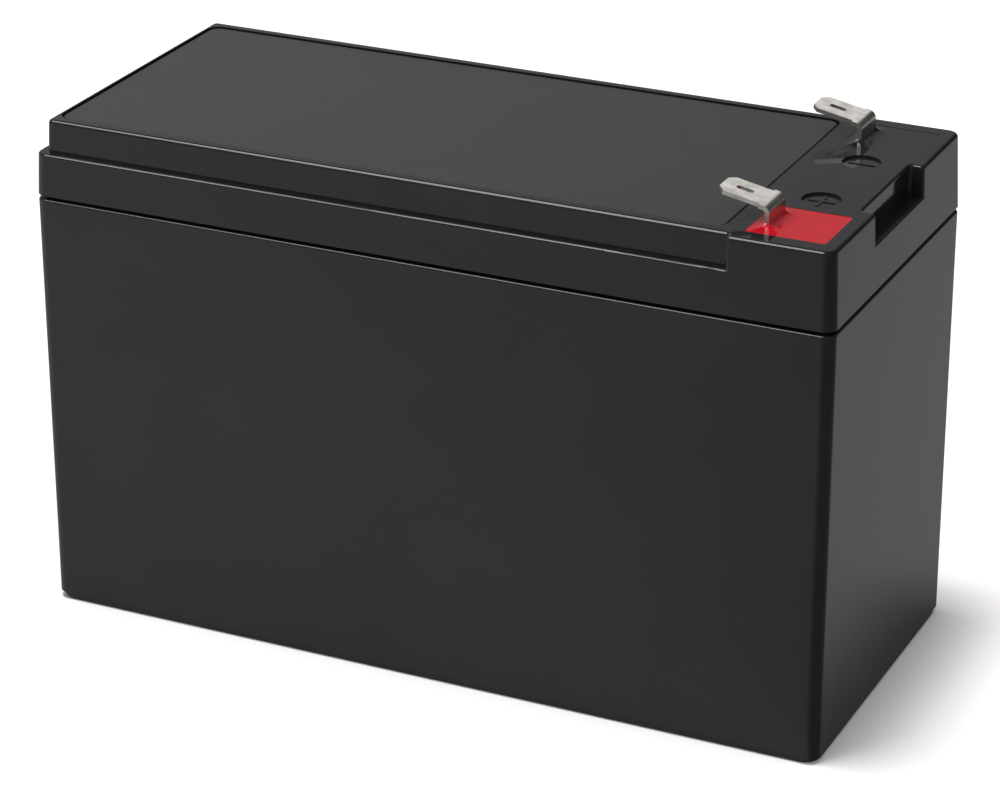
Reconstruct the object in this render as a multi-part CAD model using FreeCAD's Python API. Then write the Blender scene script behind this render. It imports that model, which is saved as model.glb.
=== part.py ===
import FreeCAD
import Part
import math
import os
from FreeCAD import Vector

# A small sealed lead-acid battery: six cells in a moulded case, a lid with one relief valve per cell
# under a cover plate, and two blade terminals at one short end.
# Millimetres. X runs along the length with the terminals at +X, -Y is the front long side, +Z is up,
# and the origin is the middle of the bottom face.

# overall sizes
length = 151.0  # over the lid's lower edge
width = 65.0  # over the lid's lower edge
body_height = 94.0  # from the bottom face to the top of the lid

# case
case_inset = 0.05  # the case walls stand in from the lid's lower edge
case_wall = 2.4
case_corner = 2.2
rim_rounding = 0.5
floor_top = 2.4
plinth_height = 1.3
plinth_inset = 0.25
plinth_corner = 3.2
plinth_rounding = 0.5
partition = 1.6
cell_corner = 1.0
cell_columns = 3
rib_height = 1.5
rib_width = 1.2
rib_spacing = 14.0

# joint between case and lid
lid_height = 13.7  # from the lid's lower edge to its top
seam_gap = 0.7  # open groove between the case's rim and the lid
tongue_height = 1.8
tongue_wall = 1.0
tongue_clearance = 0.1
partition_end_gap = 0.3
partition_rise = 1.2  # the partitions stand above the tongue by this much
rib_cheek = 0.9  # wall of the lid's rib on each side of a partition
rib_grip = 1.6  # how far a partition stands in its rib

# lid
lid_corner = 2.3
lid_draft = 0.6  # the lid's walls lean in by this much from bottom to top
lid_wall = 2.35
lid_top_wall = 2.4
top_rounding = 0.75
ledge_drop = 5.9  # from the lid's top down to the ledge
ledge_inset = 1.57
ledge_rounding = 0.5
platform_corner = 1.2
block_length = 19.45  # from the terminal end's wall to the end of the ledge
block_corner = 0.9
block_inner_corner = 0.5
notch_from_pocket = 3.32  # along Y, from the notch's end to the terminal pocket
notch_drop = 5.6
notch_depth = 3.2
notch_corner = 0.8
notch_rounding = 0.5

# vent cover plate and the recess it lies in
recess_from_end = 3.0  # from the lid's left edge to the recess
recess_from_side = 4.17
recess_from_block = 1.6
recess_corner = 2.4
cover_gap = 0.45
cover_thickness = 2.0
cover_below_top = 0.2
cover_edge = 0.2
channel_width = 2.0
channel_depth = 0.9
tick_length = 0.75
tick_width = 0.2
tick_depth = 0.25
tick_from_recess = 1.1
tick_from_corner = 4.0

# relief valves
vent_offset = -3.0  # the vents stand this far towards the plain end from their cells' middles
neck_radius = 4.5
neck_bore_radius = 2.5
neck_height = 5.7
well_gap = 1.1  # round a cap's bead
well_wall = 1.6
well_floor = 2.0
cap_clearance = 0.05  # radial, cap over neck
cap_wall = 1.2
cap_top = 1.05
cap_skirt = 5.2
cap_lift = 0.5
cap_lift_spare = 0.05
cap_bead = 0.35

# terminals
terminal_from_side = 10.5
pole_from_end = 9.3
pole_radius = 3.0
pole_clearance = 0.1
stub_radius = 2.0
stub_clearance = 0.05
stub_above_foot = 0.8
pocket_from_pole = 1.05  # the pocket's middle stands this far inboard of the pole
pocket_length = 14.1
pocket_width = 13.15
pocket_corner = 0.5
pocket_depth = 7.0
pocket_floor = 3.6
pocket_wall = 1.6
resin_below_top = 0.05
o_ring_section = 0.6  # radius
o_ring_play = 0.02
tab_thickness = 0.8
tab_width = 6.3
tab_length = 7.8
tab_tilt = 11.0  # degrees up from level
tab_tip_across = 1.25
tab_tip_along = 1.1
tab_slot_length = 3.1
tab_slot_width = 1.35
tab_slot_from_tip = 3.9
leg_width = 7.4
bend_radius = 0.7  # inside
shoulder_run = 1.95  # from the leg's outer face to the blade's shoulder
shoulder_height = 3.9  # of the blade's upper face above the lid at the shoulder
foot_margin = 0.46  # of the foot's sides past the O-ring's bore
foot_start = 0.16  # the foot is flat this far before the O-ring's bore
foot_beyond_pole = 5.0
foot_bend_radius = 0.5

# raised marks in round recesses
mark_from_end = 11.0
mark_from_terminal = 12.2  # along Y
mark_radius = 3.4
mark_depth = 0.4
mark_height = 0.15
mark_root = 0.3  # of a raised mark below its recess's floor
mark_bar_length = 4.8
mark_bar_width = 0.5

# plates and separators in each cell
positive_plates = 5
positive_thickness = 2.0
negative_thickness = 1.4
plate_side_gap = 1.6
separator_side_gap = 0.5
stack_clearance = 0.1  # between the packed stack and the cell's walls
separator_above = 1.5
lug_width = 7.0
lug_from_plate_edge = 5.1  # to the lug's middle

# straps and links between cells
strap_below_rim = 6.3  # underside of the straps below the case's rim
lug_reach = 4.0  # free height of the lugs between plates and straps
strap_thickness = 3.0
strap_overhang = 1.5
lug_in_strap = 1.5
riser_thickness = 3.0
riser_width = 9.0
riser_clearance = 0.1
weld_radius = 2.5
weld_clearance = 0.05
weld_rise = 3.2  # middle of a weld above the straps' underside

near = 1e-3  # two places this close are the same
past = 1.0  # cutters run this far past what they cut

# worked out from the sizes above
lid_bottom = body_height - lid_height
seam_height = lid_bottom - seam_gap
ledge_height = body_height - ledge_drop
notch_floor = body_height - notch_drop
pocket_floor_z = body_height - pocket_depth
strap_bottom = seam_height - strap_below_rim
plate_top = strap_bottom - lug_reach
weld_z = strap_bottom + weld_rise
half_length = length / 2
half_width = width / 2
case_half_x = half_length - case_inset
case_half_y = half_width - case_inset
inner_half_x = case_half_x - case_wall
inner_half_y = case_half_y - case_wall
cell_length = (2 * inner_half_x - (cell_columns - 1) * partition) / cell_columns
cell_width = (2 * inner_half_y - partition) / 2
rib_top = floor_top + rib_height
tongue_top = seam_height + tongue_height
partition_top = tongue_top + partition_rise
slope = lid_draft / (body_height - lid_bottom)
block_x = half_length - block_length
recess_floor = body_height - cover_below_top - cover_thickness
cell_ceiling = recess_floor - lid_top_wall
recess_x0 = -half_length + recess_from_end
recess_x1 = block_x - recess_from_block
recess_half_y = half_width - recess_from_side
recess_half_x = (recess_x1 - recess_x0) / 2
recess_mid_x = (recess_x0 + recess_x1) / 2
cap_top_z = recess_floor - cap_lift - cap_lift_spare
neck_top = cap_top_z - cap_top
deck_z = neck_top - neck_height
pole_x = half_length - pole_from_end
ring_bore = pole_radius + 2 * (o_ring_section + o_ring_play)
foot_width = 2 * (ring_bore + foot_margin)
leg_outer_x = pole_x - ring_bore - foot_start - foot_bend_radius
terminal_offset = half_width - terminal_from_side
notch_half_width = terminal_offset - pocket_width / 2 - notch_from_pocket
mark_offset = terminal_offset - mark_from_terminal
mark_x = half_length - mark_from_end
well_radius = neck_radius + cap_clearance + cap_wall + cap_bead + well_gap
lug_from_cell_middle = cell_length / 2 - plate_side_gap - lug_from_plate_edge
strap_top = strap_bottom + strap_thickness
negative_plates = positive_plates + 1
separator_count = 2 * positive_plates
separator_thickness = (
    cell_width
    - 2 * stack_clearance
    - positive_plates * positive_thickness
    - negative_plates * negative_thickness
) / separator_count

os.makedirs("parts", exist_ok=True)


def save(name, shape):
    shape.exportStep("parts/" + name + ".step")


def box(x0, x1, y0, y1, z0, z1):
    return Part.makeBox(x1 - x0, y1 - y0, z1 - z0, Vector(x0, y0, z0))


def cylinder(radius, x, y, z0, z1):
    return Part.makeCylinder(radius, z1 - z0, Vector(x, y, z0))


def rounded_outline(half_x, half_y, radius, x, y, z):
    """Closed wire: a rectangle with round corners, level at height z."""
    edges = []
    corners = [(1, 1, 0), (-1, 1, 90), (-1, -1, 180), (1, -1, 270)]
    for number, (side_x, side_y, start) in enumerate(corners):
        centre = Vector(x + side_x * (half_x - radius), y + side_y * (half_y - radius), z)
        arc = Part.makeCircle(radius, centre, Vector(0, 0, 1), start, start + 90)
        next_x, next_y, next_start = corners[(number + 1) % 4]
        next_centre = Vector(x + next_x * (half_x - radius), y + next_y * (half_y - radius), z)
        angle = math.radians(next_start)
        following = next_centre + Vector(radius * math.cos(angle), radius * math.sin(angle), 0)
        edges.append(arc)
        edges.append(Part.makeLine(arc.lastVertex(True).Point, following))
    return Part.Wire(edges)


def rounded_prism(half_x, half_y, radius, z0, z1, x=0.0, y=0.0):
    outline = rounded_outline(half_x, half_y, radius, x, y, z0)
    return Part.Face(outline).extrude(Vector(0, 0, z1 - z0))


def drafted_prism(half_x, half_y, radius, z0, z1, lean, x=0.0, y=0.0):
    """The same, with walls that lean in by lean between z0 and z1."""
    lower = rounded_outline(half_x, half_y, radius, x, y, z0)
    upper = rounded_outline(half_x - lean, half_y - lean, radius - lean / 2, x, y, z1)
    return Part.makeLoft([lower, upper], True, True)


def fillet_where(shape, radius, chosen):
    edges = [edge for edge in shape.Edges if chosen(edge.BoundBox)]
    return shape.makeFillet(radius, edges)


def is_level_at(bounds, z):
    return abs(bounds.ZMin - z) < near and abs(bounds.ZMax - z) < near


def is_upright(bounds, z0, z1):
    return abs(bounds.ZMin - z0) < near and abs(bounds.ZMax - z1) < near


def lid_lean(z):
    return slope * (z - lid_bottom)


def cells():
    """Each cell's number, middle, row side (-1 front, 1 back) and the side of its positive lugs."""
    pitch = cell_length + partition
    middle_y = (cell_width + partition) / 2
    columns = [(cell_columns - 1) / 2 - n for n in range(cell_columns)]
    found = []
    for column in columns:
        found.append((column * pitch, -middle_y, -1, 1))
    for column in reversed(columns):
        found.append((column * pitch, middle_y, 1, -1))
    return [(n + 1, *cell) for n, cell in enumerate(found)]


def partition_walls(z0, z1, thickness, end_gap):
    """The walls between the cells: one lengthwise, the others across."""
    reach_x = inner_half_x - end_gap
    reach_y = inner_half_y - end_gap
    walls = box(-reach_x, reach_x, -thickness / 2, thickness / 2, z0, z1)
    for n in range(cell_columns - 1):
        x = (n - (cell_columns - 2) / 2) * (cell_length + partition)
        walls = walls.fuse(box(x - thickness / 2, x + thickness / 2, -reach_y, reach_y, z0, z1))
    return walls


def make_case():
    plinth = rounded_prism(
        case_half_x - plinth_inset, case_half_y - plinth_inset, plinth_corner, 0, 2 * plinth_height
    )
    plinth = fillet_where(plinth, plinth_rounding, lambda b: is_level_at(b, 0))
    body = rounded_prism(case_half_x, case_half_y, case_corner, plinth_height, seam_height)
    body = fillet_where(body, rim_rounding, lambda b: is_level_at(b, seam_height))
    tongue = rounded_prism(
        inner_half_x + tongue_wall, inner_half_y + tongue_wall, cell_corner, floor_top, tongue_top
    )
    walls = partition_walls(floor_top, partition_top, partition, partition_end_gap)
    case = body.fuse([plinth, tongue, walls])
    for number, x, y, row, side in cells():
        case = case.cut(
            rounded_prism(
                cell_length / 2, cell_width / 2, cell_corner, floor_top, partition_top + past, x, y
            )
        )
    for number, x, y, row, side in cells():
        for step in (-1, 0, 1):
            rib_x = x + step * rib_spacing
            case = case.fuse(
                box(
                    rib_x - rib_width / 2,
                    rib_x + rib_width / 2,
                    y - cell_width / 2,
                    y + cell_width / 2,
                    floor_top - past,
                    rib_top,
                )
            )
    for link in links():
        case = case.cut(link_cylinder(link, weld_radius + weld_clearance, partition / 2 + past))
    return case.removeSplitter()


def links():
    """Where each cell joins the next: the middle of the partition and the way through it."""
    found = []
    for here, following in zip(cells()[:-1], cells()[1:]):
        if here[3] == following[3]:
            found.append(((here[1] + following[1]) / 2, here[2], Vector(1, 0, 0)))
        else:
            end_x = here[1] - here[4] * lug_from_cell_middle
            found.append((end_x, 0.0, Vector(0, 1, 0)))
    return found


def link_cylinder(link, radius, half):
    x, y, way = link
    start = Vector(x, y, weld_z) - way * half
    return Part.makeCylinder(radius, 2 * half, start, way)


def rounded_polygon(points, z):
    """Closed wire at height z through (x, y, corner radius) points, each corner an arc."""
    corners = [Vector(x, y, z) for x, y, radius in points]
    arcs = []
    for number, corner in enumerate(corners):
        radius = points[number][2]
        back = (corners[number - 1] - corner).normalize()
        ahead = (corners[(number + 1) % len(corners)] - corner).normalize()
        half_angle = back.getAngle(ahead) / 2
        reach = radius / math.tan(half_angle)
        inward = (back + ahead).normalize()
        middle = corner + inward * (radius / math.sin(half_angle) - radius)
        arcs.append(Part.Arc(corner + back * reach, middle, corner + ahead * reach).toShape())
    edges = []
    for arc, following in zip(arcs, arcs[1:] + arcs[:1]):
        edges.append(arc)
        edges.append(Part.makeLine(arc.Vertexes[1].Point, following.Vertexes[0].Point))
    return Part.Wire(edges)


def upper_outline(z):
    """The lid's outline above the ledge: the platform, and the terminal block at +X."""
    lean = lid_lean(z)
    side_y = half_width - lean
    step_y = side_y - ledge_inset
    lid_radius = lid_corner - lean / 2
    platform_radius = platform_corner - (lean - lid_lean(ledge_height)) / 2
    front = [
        (block_x, -step_y, block_inner_corner),
        (block_x, -side_y, block_corner),
        (half_length - lean, -side_y, lid_radius),
    ]
    back = [(x, -y, radius) for x, y, radius in reversed(front)]
    plain_x = -half_length + lean + ledge_inset
    ends = [(plain_x, step_y, platform_radius), (plain_x, -step_y, platform_radius)]
    return rounded_polygon(front + back + ends, z)


def lid_outside():
    """The lid's outer form: ledge, platform, terminal block and end notch, with no hollows."""
    lower = drafted_prism(
        half_length, half_width, lid_corner, lid_bottom, ledge_height, lid_lean(ledge_height)
    )
    lower = fillet_where(lower, ledge_rounding, lambda b: is_level_at(b, ledge_height))
    upper = Part.makeLoft([upper_outline(lid_bottom), upper_outline(body_height)], True, True)
    upper = fillet_where(upper, top_rounding, lambda b: is_level_at(b, body_height))
    return cut_notch(upper.fuse(lower).removeSplitter())


def cut_notch(outside):
    """Cuts the end notch, then rounds its whole mouth: up, along the top edges and along the floor."""
    notch_x = half_length - notch_depth
    notch = box(
        notch_x,
        half_length + past,
        -notch_half_width,
        notch_half_width,
        notch_floor,
        body_height + past,
    )
    notch = fillet_where(
        notch,
        notch_corner,
        lambda b: is_upright(b, notch_floor, body_height + past) and b.XMax < notch_x + near,
    )
    mouth_x = half_length - lid_lean(body_height) - 2 * top_rounding

    def on_mouth(b):
        across = max(b.YMax, -b.YMin) < notch_half_width + near
        inside = across and b.XMin > notch_x - near and b.ZMin > notch_floor - near
        return inside and (b.ZMin > body_height - 2 * top_rounding or b.XMin > mouth_x)

    return fillet_where(outside.cut(notch), notch_rounding, on_mouth)


def vent_places():
    return [(number, x + vent_offset, y) for number, x, y, row, side in cells()]


def pocket_prism(growth, z0, z1, side):
    return rounded_prism(
        pocket_length / 2 + growth,
        pocket_width / 2 + growth,
        pocket_corner + growth,
        z0,
        z1,
        pole_x - pocket_from_pole,
        side * terminal_offset,
    )


def lid_underside(lid):
    """Hollows the lid from below, leaving the valve wells, terminal pockets and partition ribs."""
    ledge_under = ledge_height - lid_top_wall
    lower = rounded_prism(inner_half_x, inner_half_y, cell_corner, lid_bottom - past, ledge_under)
    rebate = rounded_prism(
        inner_half_x + tongue_wall + tongue_clearance,
        inner_half_y + tongue_wall + tongue_clearance,
        cell_corner,
        lid_bottom - past,
        tongue_top,
    )
    upper_x0 = -half_length + lid_lean(ledge_height) + ledge_inset + lid_wall
    upper_x1 = pole_x - pocket_from_pole - pocket_length / 2 - pocket_wall
    upper_half_y = half_width - lid_lean(ledge_height) - ledge_inset - lid_wall
    upper = box(
        upper_x0, upper_x1, -upper_half_y, upper_half_y, ledge_under - past, cell_ceiling
    )
    end_x1 = half_length - notch_depth - lid_wall
    end_half_y = terminal_offset - pocket_width / 2 - pocket_wall
    end = box(
        upper_x1 - past, end_x1, -end_half_y, end_half_y, ledge_under - past, cell_ceiling
    )
    hollow = lower.fuse([upper, end])

    kept = []
    for number, x, y in vent_places():
        kept.append(cylinder(well_radius + well_wall, x, y, deck_z - well_floor, body_height))
    for side in (-1, 1):
        kept.append(pocket_prism(pocket_wall, pocket_floor_z - pocket_floor, body_height, side))
    kept.append(
        partition_walls(
            partition_top - rib_grip, body_height, partition + 2 * (tongue_clearance + rib_cheek), 0.0
        )
    )
    hollow = hollow.cut(kept)
    grooves = partition_walls(
        lid_bottom - past, partition_top, partition + 2 * tongue_clearance, 0.0
    )
    return lid.cut([hollow, rebate, grooves])


def valve_chamber():
    """What is cut from the lid's top for the cover plate, the valve wells and the gas channels."""
    cuts = [
        rounded_prism(
            recess_half_x,
            recess_half_y,
            recess_corner,
            recess_floor,
            body_height + past,
            recess_mid_x,
        )
    ]
    for number, x, y in vent_places():
        well = cylinder(well_radius, x, y, deck_z, body_height)
        cuts.append(well.cut(cylinder(neck_radius, x, y, deck_z, neck_top)))
        cuts.append(cylinder(neck_bore_radius, x, y, deck_z - well_floor - past, body_height))
    for row in (-1, 1):
        y = row * (cell_width + partition) / 2
        row_x = [x for number, x, vent_y in vent_places() if vent_y * row > 0]
        channel = box(
            recess_x0,
            max(row_x),
            y - channel_width / 2,
            y + channel_width / 2,
            recess_floor - channel_depth,
            recess_floor,
        )
        wells = [cylinder(well_radius, x, y, deck_z, body_height) for x in row_x]
        cuts.append(channel.cut(wells))
    return cuts


def terminal_cuts(side):
    """One terminal's pocket, pole hole and O-ring bore, and the round recess and tick beside it."""
    y = side * terminal_offset
    tick_x = recess_x1 + tick_from_recess
    tick_y = side * (recess_half_y - tick_from_corner)
    return [
        pocket_prism(0.0, pocket_floor_z, body_height + past, side),
        cylinder(
            pole_radius + pole_clearance,
            pole_x,
            y,
            pocket_floor_z - pocket_floor - past,
            body_height,
        ),
        cylinder(ring_bore, pole_x, y, pocket_floor_z - 2 * o_ring_section, body_height),
        cylinder(
            mark_radius, mark_x, side * mark_offset, body_height - mark_depth, body_height + past
        ),
        box(
            tick_x - tick_length / 2,
            tick_x + tick_length / 2,
            tick_y - tick_width / 2,
            tick_y + tick_width / 2,
            body_height - tick_depth,
            body_height + past,
        ),
    ]


def raised_marks():
    """A raised plus towards the front and a raised minus towards the back."""
    z0 = body_height - mark_depth - mark_root
    z1 = body_height - mark_depth + mark_height
    long = mark_bar_length / 2
    short = mark_bar_width / 2
    bars = []
    for side in (-1, 1):
        y = side * mark_offset
        bars.append(box(mark_x - long, mark_x + long, y - short, y + short, z0, z1))
    y = -mark_offset
    bars.append(box(mark_x - short, mark_x + short, y - long, y + long, z0, z1))
    return bars


def make_lid():
    lid = lid_underside(lid_outside())
    lid = lid.cut(valve_chamber() + terminal_cuts(-1) + terminal_cuts(1))
    return lid.fuse(raised_marks()).removeSplitter()


def make_cover():
    cover = rounded_prism(
        recess_half_x - cover_gap,
        recess_half_y - cover_gap,
        recess_corner - cover_gap,
        recess_floor,
        recess_floor + cover_thickness,
        recess_mid_x,
    )
    return fillet_where(
        cover, cover_edge, lambda b: is_level_at(b, recess_floor + cover_thickness)
    )


def make_cap(x, y):
    """A rubber cup that sits over a vent neck and lifts when the cell's pressure rises."""
    inner = neck_radius + cap_clearance
    outer = inner + cap_wall
    skirt_bottom = neck_top - cap_skirt
    cup = cylinder(outer, x, y, skirt_bottom, cap_top_z)
    cup = fillet_where(cup, cap_bead, lambda b: is_level_at(b, cap_top_z))
    bead = Part.makeTorus(outer, cap_bead, Vector(x, y, skirt_bottom + 2 * cap_bead))
    return cup.fuse(bead).cut(cylinder(inner, x, y, skirt_bottom - past, neck_top))


def bent_strip(points, radii, thickness, half, y):
    """Sheet of one thickness bent along points in the XZ plane; radii are to its middle line."""
    lines = []
    start = points[0]
    for corner, radius, following in zip(points[1:-1], radii, points[2:]):
        back = (start - corner).normalize()
        ahead = (following - corner).normalize()
        half_angle = back.getAngle(ahead) / 2
        arc_start = corner + back * (radius / math.tan(half_angle))
        arc_end = corner + ahead * (radius / math.tan(half_angle))
        inward = (back + ahead).normalize()
        arc_middle = corner + inward * (radius / math.sin(half_angle) - radius)
        lines.append(Part.makeLine(start, arc_start))
        lines.append(Part.Arc(arc_start, arc_middle, arc_end).toShape())
        start = arc_end
    lines.append(Part.makeLine(start, points[-1]))
    path = Part.Wire(lines)
    level = Vector(0, half, 0)
    lift = (points[1] - points[0]).normalize().cross(Vector(0, 1, 0)) * (thickness / 2)
    first = points[0]
    section = Part.makePolygon(
        [first - level - lift, first + level - lift, first + level + lift, first - level + lift,
         first - level - lift]
    )
    solid = path.makePipeShell([section], True, False)
    solid.translate(Vector(0, y, 0))
    return solid


def blade(shoulder, tilt, y):
    """Flat blade with a chamfered tip and a slot, laid out level and then tilted at its shoulder."""
    half = tab_width / 2
    bite = bend_radius / 2
    outline = [
        (bite, -half),
        (-tab_length + tab_tip_along, -half),
        (-tab_length, -half + tab_tip_across),
        (-tab_length, half - tab_tip_across),
        (-tab_length + tab_tip_along, half),
        (bite, half),
        (bite, -half),
    ]
    face = Part.Face(Part.makePolygon([Vector(u, v, -tab_thickness / 2) for u, v in outline]))
    solid = face.extrude(Vector(0, 0, tab_thickness))
    slot = rounded_prism(
        tab_slot_length / 2,
        tab_slot_width / 2,
        tab_slot_width / 2 - near,
        -tab_thickness,
        tab_thickness,
        -tab_length + tab_slot_from_tip,
    )
    solid = solid.cut(slot)
    solid.rotate(Vector(0, 0, 0), Vector(0, 1, 0), tilt)
    solid.translate(shoulder + Vector(0, y, 0))
    return solid


def make_tab(side):
    """Strip terminal: a foot under the resin, a leg out of it and a blade bent inboard."""
    half = tab_thickness / 2
    y = side * terminal_offset
    tilt = math.radians(tab_tilt)
    leg_x = leg_outer_x - half
    shoulder_x = leg_outer_x - shoulder_run
    shoulder_z = body_height + shoulder_height - half / math.cos(tilt)
    bend_z = shoulder_z - (leg_x - shoulder_x) * math.tan(tilt)
    foot_z = pocket_floor_z + half
    shoulder = Vector(shoulder_x, 0, shoulder_z)
    points = [
        Vector(pole_x, 0, foot_z),
        Vector(leg_x, 0, foot_z),
        Vector(leg_x, 0, bend_z),
        shoulder,
    ]
    radii = [foot_bend_radius + half, bend_radius + half]
    tab = bent_strip(points, radii, tab_thickness, leg_width / 2, y)
    foot_x0 = leg_outer_x + foot_bend_radius
    foot = box(
        foot_x0,
        pole_x + foot_beyond_pole,
        y - foot_width / 2,
        y + foot_width / 2,
        pocket_floor_z,
        pocket_floor_z + tab_thickness,
    )
    tab = tab.fuse([foot, blade(shoulder, tab_tilt, y)])
    hole = cylinder(stub_radius + stub_clearance, pole_x, y, pocket_floor_z - past, body_height)
    return tab.cut(hole).removeSplitter()


def make_pole(side):
    y = side * terminal_offset
    stub_top = pocket_floor_z + tab_thickness + stub_above_foot
    body = cylinder(pole_radius, pole_x, y, strap_top, pocket_floor_z)
    return body.fuse(cylinder(stub_radius, pole_x, y, pocket_floor_z, stub_top))


def make_resin(side, tab, pole):
    """Sealing resin poured into a terminal pocket round the tab's foot and leg."""
    y = side * terminal_offset
    poured = pocket_prism(0.0, pocket_floor_z, body_height - resin_below_top, side)
    gap = cylinder(
        stub_radius + stub_clearance, pole_x, y, pocket_floor_z, pocket_floor_z + tab_thickness
    )
    return poured.cut([tab, pole, gap])


def make_o_ring(side):
    centre = Vector(pole_x, side * terminal_offset, pocket_floor_z - o_ring_section)
    return Part.makeTorus(pole_radius + o_ring_play + o_ring_section, o_ring_section, centre)


def stack_start(y):
    return y - cell_width / 2 + stack_clearance


def stack_pitch():
    return positive_thickness + negative_thickness + 2 * separator_thickness


def positive_faces(y):
    """Where each positive plate starts along Y."""
    first = stack_start(y) + negative_thickness + separator_thickness
    return [first + n * stack_pitch() for n in range(positive_plates)]


def negative_faces(y):
    return [stack_start(y) + n * stack_pitch() for n in range(negative_plates)]


def plate(x, y0, thickness, bottom, lug_x):
    half = cell_length / 2 - plate_side_gap
    sheet = box(x - half, x + half, y0, y0 + thickness, bottom, plate_top)
    lug = box(
        lug_x - lug_width / 2,
        lug_x + lug_width / 2,
        y0,
        y0 + thickness,
        plate_top,
        strap_bottom + lug_in_strap,
    )
    return sheet.fuse(lug).removeSplitter()


def separator(x, y0):
    """Glass mat folded up both faces of one positive plate."""
    half = cell_length / 2 - separator_side_gap
    y1 = y0 + positive_thickness
    outer = box(
        x - half,
        x + half,
        y0 - separator_thickness,
        y1 + separator_thickness,
        rib_top,
        plate_top + separator_above,
    )
    outer = fillet_where(
        outer,
        separator_thickness,
        lambda b: is_level_at(b, rib_top) and b.XMax - b.XMin > half,
    )
    inside = box(x - half - past, x + half + past, y0, y1, rib_top + separator_thickness, body_height)
    return outer.cut(inside)


def make_strap(x, y, row, lug_x, lugs, link):
    """Cast strap over one polarity's lugs, with a riser where it meets the next cell."""
    half = lug_width / 2 + strap_overhang
    y0 = stack_start(y)
    y1 = y + cell_width / 2 - stack_clearance
    strap = box(lug_x - half, lug_x + half, y0, y1, strap_bottom, strap_top)
    if link:
        link_x, link_y, way = link
        face = partition / 2 + riser_clearance
        back = face + riser_thickness
        reach = riser_width / 2
        if way.x:
            side = 1 if link_x > x else -1
            ends = sorted([link_x - side * face, link_x - side * back])
            bridge = sorted([link_x - side * face, lug_x])
            strap = strap.fuse(
                [
                    box(*ends, y - reach, y + reach, strap_bottom, seam_height),
                    box(*bridge, y - reach, y + reach, strap_bottom, strap_top),
                ]
            )
        else:
            ends = sorted([row * face, row * back])
            strap = strap.fuse(
                box(lug_x - reach, lug_x + reach, *ends, strap_bottom, seam_height)
            )
    return strap.cut(lugs).removeSplitter()


def save_cell(number, x, y, row, side):
    name = "cell_" + str(number) + "_"
    positive_x = x + side * lug_from_cell_middle
    negative_x = x - side * lug_from_cell_middle
    positives = [
        plate(x, y0, positive_thickness, rib_top + separator_thickness, positive_x)
        for y0 in positive_faces(y)
    ]
    negatives = [
        plate(x, y0, negative_thickness, rib_top, negative_x) for y0 in negative_faces(y)
    ]
    separators = [separator(x, y0) for y0 in positive_faces(y)]
    save(name + "positive_plates", Part.makeCompound(positives))
    save(name + "negative_plates", Part.makeCompound(negatives))
    save(name + "separators", Part.makeCompound(separators))
    all_links = links()
    before = all_links[number - 2] if number > 1 else None
    after = all_links[number - 1] if number <= len(all_links) else None
    save(name + "positive_strap", make_strap(x, y, row, positive_x, positives, before))
    save(name + "negative_strap", make_strap(x, y, row, negative_x, negatives, after))


save("case", make_case())
save("lid", make_lid())
save("vent_cover_plate", make_cover())
for cap_number, cap_x, cap_y in vent_places():
    save("valve_cap_" + str(cap_number), make_cap(cap_x, cap_y))
for polarity, pole_side in (("positive", -1), ("negative", 1)):
    terminal_tab = make_tab(pole_side)
    terminal_pole = make_pole(pole_side)
    save(polarity + "_tab", terminal_tab)
    save(polarity + "_pole", terminal_pole)
    save(polarity + "_o_ring", make_o_ring(pole_side))
    save(polarity + "_seal_resin", make_resin(pole_side, terminal_tab, terminal_pole))
for cell in cells():
    save_cell(*cell)
for weld_number, weld_link in enumerate(links()):
    nugget = link_cylinder(weld_link, weld_radius, partition / 2 + riser_clearance)
    save("intercell_weld_" + str(weld_number + 1), nugget)
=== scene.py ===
import math
import bmesh
import bpy
from mathutils import Matrix, Vector


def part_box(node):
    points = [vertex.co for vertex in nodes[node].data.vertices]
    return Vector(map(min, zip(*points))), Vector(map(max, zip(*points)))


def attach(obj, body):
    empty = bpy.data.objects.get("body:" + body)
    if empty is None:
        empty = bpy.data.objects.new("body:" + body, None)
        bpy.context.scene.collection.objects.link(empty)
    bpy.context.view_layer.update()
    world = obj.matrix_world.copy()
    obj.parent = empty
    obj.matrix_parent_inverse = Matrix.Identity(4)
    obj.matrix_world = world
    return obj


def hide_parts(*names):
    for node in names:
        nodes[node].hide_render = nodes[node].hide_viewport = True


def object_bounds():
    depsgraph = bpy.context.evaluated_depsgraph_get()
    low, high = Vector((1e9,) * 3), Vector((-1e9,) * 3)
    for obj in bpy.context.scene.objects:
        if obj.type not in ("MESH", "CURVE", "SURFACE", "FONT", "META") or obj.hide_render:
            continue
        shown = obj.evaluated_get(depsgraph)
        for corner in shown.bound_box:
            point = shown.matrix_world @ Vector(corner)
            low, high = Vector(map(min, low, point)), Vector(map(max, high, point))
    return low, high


# A small sealed battery: satin black mouldings, two tin-plated blades standing in poured resin,
# and six valved cells of lead plates and glass mat inside.
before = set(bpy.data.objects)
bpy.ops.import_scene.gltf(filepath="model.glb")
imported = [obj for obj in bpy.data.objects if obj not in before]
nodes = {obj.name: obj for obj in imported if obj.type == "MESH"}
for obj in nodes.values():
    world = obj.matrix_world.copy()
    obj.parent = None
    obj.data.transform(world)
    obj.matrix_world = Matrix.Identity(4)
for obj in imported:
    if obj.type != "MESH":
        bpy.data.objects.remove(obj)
cadLow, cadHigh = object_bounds()
mm = 0.001
cellNumbers = range(1, 7)
print("frame: battery is", [round(size / mm, 1) for size in cadHigh - cadLow], "mm over all")


def linearColour(hexText):
    # sRGB hex to the linear colour that a shader takes
    parts = [int(hexText[i:i + 2], 16) / 255 for i in (1, 3, 5)]
    linear = [c / 12.92 if c <= 0.04045 else ((c + 0.055) / 1.055) ** 2.4 for c in parts]
    return (*linear, 1.0)


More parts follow.
